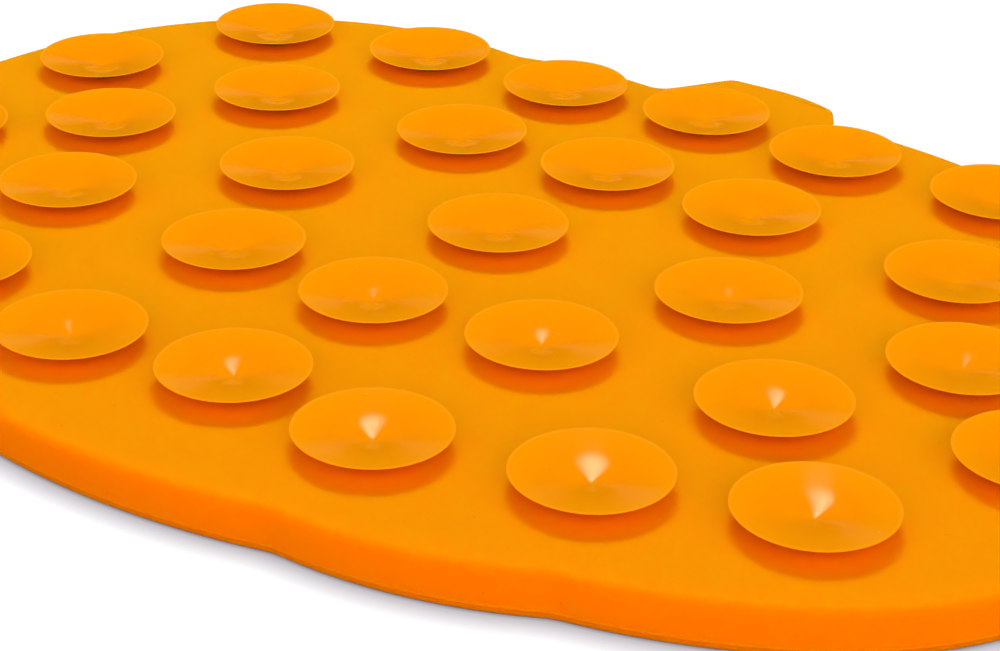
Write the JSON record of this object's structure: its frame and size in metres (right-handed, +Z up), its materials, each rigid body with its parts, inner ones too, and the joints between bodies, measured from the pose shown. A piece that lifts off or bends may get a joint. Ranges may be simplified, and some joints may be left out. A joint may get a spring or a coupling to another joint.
{
  "type": "lick mat",
  "caption": "Lobed, pumpkin-shaped silicone lick mat lying lick face down: a rimmed tray with textured zones below and round suction cups standing on its back.",
  "frame": {"origin": "on the plane that the border rim rests on, below the middle of the mat's box", "axes": "+X along the cup rows, to the right with the stem tab away; +Y towards the stem tab; +Z up, out of the suction cups"},
  "size_m": [0.2142, 0.1545, 0.0092],
  "materials": {
    "mat_silicone": "satin orange silicone",
    "cup_silicone": "smooth, slightly translucent orange silicone"
  },
  "bodies": {
    "mat": {"base_sheet": "mat_silicone", "border_rim": "mat_silicone", "lobe_rib_left_outer": "mat_silicone", "lobe_rib_left_inner": "mat_silicone", "lobe_rib_right_inner": "mat_silicone", "lobe_rib_right_outer": "mat_silicone", "middle_lobe_nubs": "mat_silicone", "stem_nubs": "mat_silicone", "left_lobe_bars": "mat_silicone", "right_lobe_bars": "mat_silicone", "left_flank_crosses": "mat_silicone", "right_flank_crosses": "mat_silicone", "cup_necks": "mat_silicone"},
    "cup_01": {"suction_cup_01": "cup_silicone"},
    "cup_02": {"suction_cup_02": "cup_silicone"},
    "cup_03": {"suction_cup_03": "cup_silicone"},
    "cup_04": {"suction_cup_04": "cup_silicone"},
    "cup_05": {"suction_cup_05": "cup_silicone"},
    "cup_06": {"suction_cup_06": "cup_silicone"},
    "cup_07": {"suction_cup_07": "cup_silicone"},
    "cup_08": {"suction_cup_08": "cup_silicone"},
    "cup_09": {"suction_cup_09": "cup_silicone"},
    "cup_10": {"suction_cup_10": "cup_silicone"},
    "cup_11": {"suction_cup_11": "cup_silicone"},
    "cup_12": {"suction_cup_12": "cup_silicone"},
    "cup_13": {"suction_cup_13": "cup_silicone"},
    "cup_14": {"suction_cup_14": "cup_silicone"},
    "cup_15": {"suction_cup_15": "cup_silicone"},
    "cup_16": {"suction_cup_16": "cup_silicone"},
    "cup_17": {"suction_cup_17": "cup_silicone"},
    "cup_18": {"suction_cup_18": "cup_silicone"},
    "cup_19": {"suction_cup_19": "cup_silicone"},
    "cup_20": {"suction_cup_20": "cup_silicone"},
    "cup_21": {"suction_cup_21": "cup_silicone"},
    "cup_22": {"suction_cup_22": "cup_silicone"},
    "cup_23": {"suction_cup_23": "cup_silicone"},
    "cup_24": {"suction_cup_24": "cup_silicone"},
    "cup_25": {"suction_cup_25": "cup_silicone"},
    "cup_26": {"suction_cup_26": "cup_silicone"},
    "cup_27": {"suction_cup_27": "cup_silicone"},
    "cup_28": {"suction_cup_28": "cup_silicone"},
    "cup_29": {"suction_cup_29": "cup_silicone"},
    "cup_30": {"suction_cup_30": "cup_silicone"},
    "cup_31": {"suction_cup_31": "cup_silicone"},
    "cup_32": {"suction_cup_32": "cup_silicone"},
    "cup_33": {"suction_cup_33": "cup_silicone"}
  },
  "joints": [
    {"name": "cup_01_press", "type": "slide", "parent": "mat", "child": "cup_01", "axis": [0, 0, 1], "range_m": [-0.0015, 0], "stiffness_N_per_m": 80, "deforming": ["suction_cup_01"]},
    {"name": "cup_02_press", "type": "slide", "parent": "mat", "child": "cup_02", "axis": [0, 0, 1], "range_m": [-0.0015, 0], "stiffness_N_per_m": 80, "deforming": ["suction_cup_02"]},
    {"name": "cup_03_press", "type": "slide", "parent": "mat", "child": "cup_03", "axis": [0, 0, 1], "range_m": [-0.0015, 0], "stiffness_N_per_m": 80, "deforming": ["suction_cup_03"]},
    {"name": "cup_04_press", "type": "slide", "parent": "mat", "child": "cup_04", "axis": [0, 0, 1], "range_m": [-0.0015, 0], "stiffness_N_per_m": 80, "deforming": ["suction_cup_04"]},
    {"name": "cup_05_press", "type": "slide", "parent": "mat", "child": "cup_05", "axis": [0, 0, 1], "range_m": [-0.0015, 0], "stiffness_N_per_m": 80, "deforming": ["suction_cup_05"]},
    {"name": "cup_06_press", "type": "slide", "parent": "mat", "child": "cup_06", "axis": [0, 0, 1], "range_m": [-0.0015, 0], "stiffness_N_per_m": 80, "deforming": ["suction_cup_06"]},
    {"name": "cup_07_press", "type": "slide", "parent": "mat", "child": "cup_07", "axis": [0, 0, 1], "range_m": [-0.0015, 0], "stiffness_N_per_m": 80, "deforming": ["suction_cup_07"]},
    {"name": "cup_08_press", "type": "slide", "parent": "mat", "child": "cup_08", "axis": [0, 0, 1], "range_m": [-0.0015, 0], "stiffness_N_per_m": 80, "deforming": ["suction_cup_08"]},
    {"name": "cup_09_press", "type": "slide", "parent": "mat", "child": "cup_09", "axis": [0, 0, 1], "range_m": [-0.0015, 0], "stiffness_N_per_m": 80, "deforming": ["suction_cup_09"]},
    {"name": "cup_10_press", "type": "slide", "parent": "mat", "child": "cup_10", "axis": [0, 0, 1], "range_m": [-0.0015, 0], "stiffness_N_per_m": 80, "deforming": ["suction_cup_10"]},
    {"name": "cup_11_press", "type": "slide", "parent": "mat", "child": "cup_11", "axis": [0, 0, 1], "range_m": [-0.0015, 0], "stiffness_N_per_m": 80, "deforming": ["suction_cup_11"]},
    {"name": "cup_12_press", "type": "slide", "parent": "mat", "child": "cup_12", "axis": [0, 0, 1], "range_m": [-0.0015, 0], "stiffness_N_per_m": 80, "deforming": ["suction_cup_12"]},
    {"name": "cup_13_press", "type": "slide", "parent": "mat", "child": "cup_13", "axis": [0, 0, 1], "range_m": [-0.0015, 0], "stiffness_N_per_m": 80, "deforming": ["suction_cup_13"]},
    {"name": "cup_14_press", "type": "slide", "parent": "mat", "child": "cup_14", "axis": [0, 0, 1], "range_m": [-0.0015, 0], "stiffness_N_per_m": 80, "deforming": ["suction_cup_14"]},
    {"name": "cup_15_press", "type": "slide", "parent": "mat", "child": "cup_15", "axis": [0, 0, 1], "range_m": [-0.0015, 0], "stiffness_N_per_m": 80, "deforming": ["suction_cup_15"]},
    {"name": "cup_16_press", "type": "slide", "parent": "mat", "child": "cup_16", "axis": [0, 0, 1], "range_m": [-0.0015, 0], "stiffness_N_per_m": 80, "deforming": ["suction_cup_16"]},
    {"name": "cup_17_press", "type": "slide", "parent": "mat", "child": "cup_17", "axis": [0, 0, 1], "range_m": [-0.0015, 0], "stiffness_N_per_m": 80, "deforming": ["suction_cup_17"]},
    {"name": "cup_18_press", "type": "slide", "parent": "mat", "child": "cup_18", "axis": [0, 0, 1], "range_m": [-0.0015, 0], "stiffness_N_per_m": 80, "deforming": ["suction_cup_18"]},
    {"name": "cup_19_press", "type": "slide", "parent": "mat", "child": "cup_19", "axis": [0, 0, 1], "range_m": [-0.0015, 0], "stiffness_N_per_m": 80, "deforming": ["suction_cup_19"]},
    {"name": "cup_20_press", "type": "slide", "parent": "mat", "child": "cup_20", "axis": [0, 0, 1], "range_m": [-0.0015, 0], "stiffness_N_per_m": 80, "deforming": ["suction_cup_20"]},
    {"name": "cup_21_press", "type": "slide", "parent": "mat", "child": "cup_21", "axis": [0, 0, 1], "range_m": [-0.0015, 0], "stiffness_N_per_m": 80, "deforming": ["suction_cup_21"]},
    {"name": "cup_22_press", "type": "slide", "parent": "mat", "child": "cup_22", "axis": [0, 0, 1], "range_m": [-0.0015, 0], "stiffness_N_per_m": 80, "deforming": ["suction_cup_22"]},
    {"name": "cup_23_press", "type": "slide", "parent": "mat", "child": "cup_23", "axis": [0, 0, 1], "range_m": [-0.0015, 0], "stiffness_N_per_m": 80, "deforming": ["suction_cup_23"]},
    {"name": "cup_24_press", "type": "slide", "parent": "mat", "child": "cup_24", "axis": [0, 0, 1], "range_m": [-0.0015, 0], "stiffness_N_per_m": 80, "deforming": ["suction_cup_24"]},
    {"name": "cup_25_press", "type": "slide", "parent": "mat", "child": "cup_25", "axis": [0, 0, 1], "range_m": [-0.0015, 0], "stiffness_N_per_m": 80, "deforming": ["suction_cup_25"]},
    {"name": "cup_26_press", "type": "slide", "parent": "mat", "child": "cup_26", "axis": [0, 0, 1], "range_m": [-0.0015, 0], "stiffness_N_per_m": 80, "deforming": ["suction_cup_26"]},
    {"name": "cup_27_press", "type": "slide", "parent": "mat", "child": "cup_27", "axis": [0, 0, 1], "range_m": [-0.0015, 0], "stiffness_N_per_m": 80, "deforming": ["suction_cup_27"]},
    {"name": "cup_28_press", "type": "slide", "parent": "mat", "child": "cup_28", "axis": [0, 0, 1], "range_m": [-0.0015, 0], "stiffness_N_per_m": 80, "deforming": ["suction_cup_28"]},
    {"name": "cup_29_press", "type": "slide", "parent": "mat", "child": "cup_29", "axis": [0, 0, 1], "range_m": [-0.0015, 0], "stiffness_N_per_m": 80, "deforming": ["suction_cup_29"]},
    {"name": "cup_30_press", "type": "slide", "parent": "mat", "child": "cup_30", "axis": [0, 0, 1], "range_m": [-0.0015, 0], "stiffness_N_per_m": 80, "deforming": ["suction_cup_30"]},
    {"name": "cup_31_press", "type": "slide", "parent": "mat", "child": "cup_31", "axis": [0, 0, 1], "range_m": [-0.0015, 0], "stiffness_N_per_m": 80, "deforming": ["suction_cup_31"]},
    {"name": "cup_32_press", "type": "slide", "parent": "mat", "child": "cup_32", "axis": [0, 0, 1], "range_m": [-0.0015, 0], "stiffness_N_per_m": 80, "deforming": ["suction_cup_32"]},
    {"name": "cup_33_press", "type": "slide", "parent": "mat", "child": "cup_33", "axis": [0, 0, 1], "range_m": [-0.0015, 0], "stiffness_N_per_m": 80, "deforming": ["suction_cup_33"]}
  ]
}
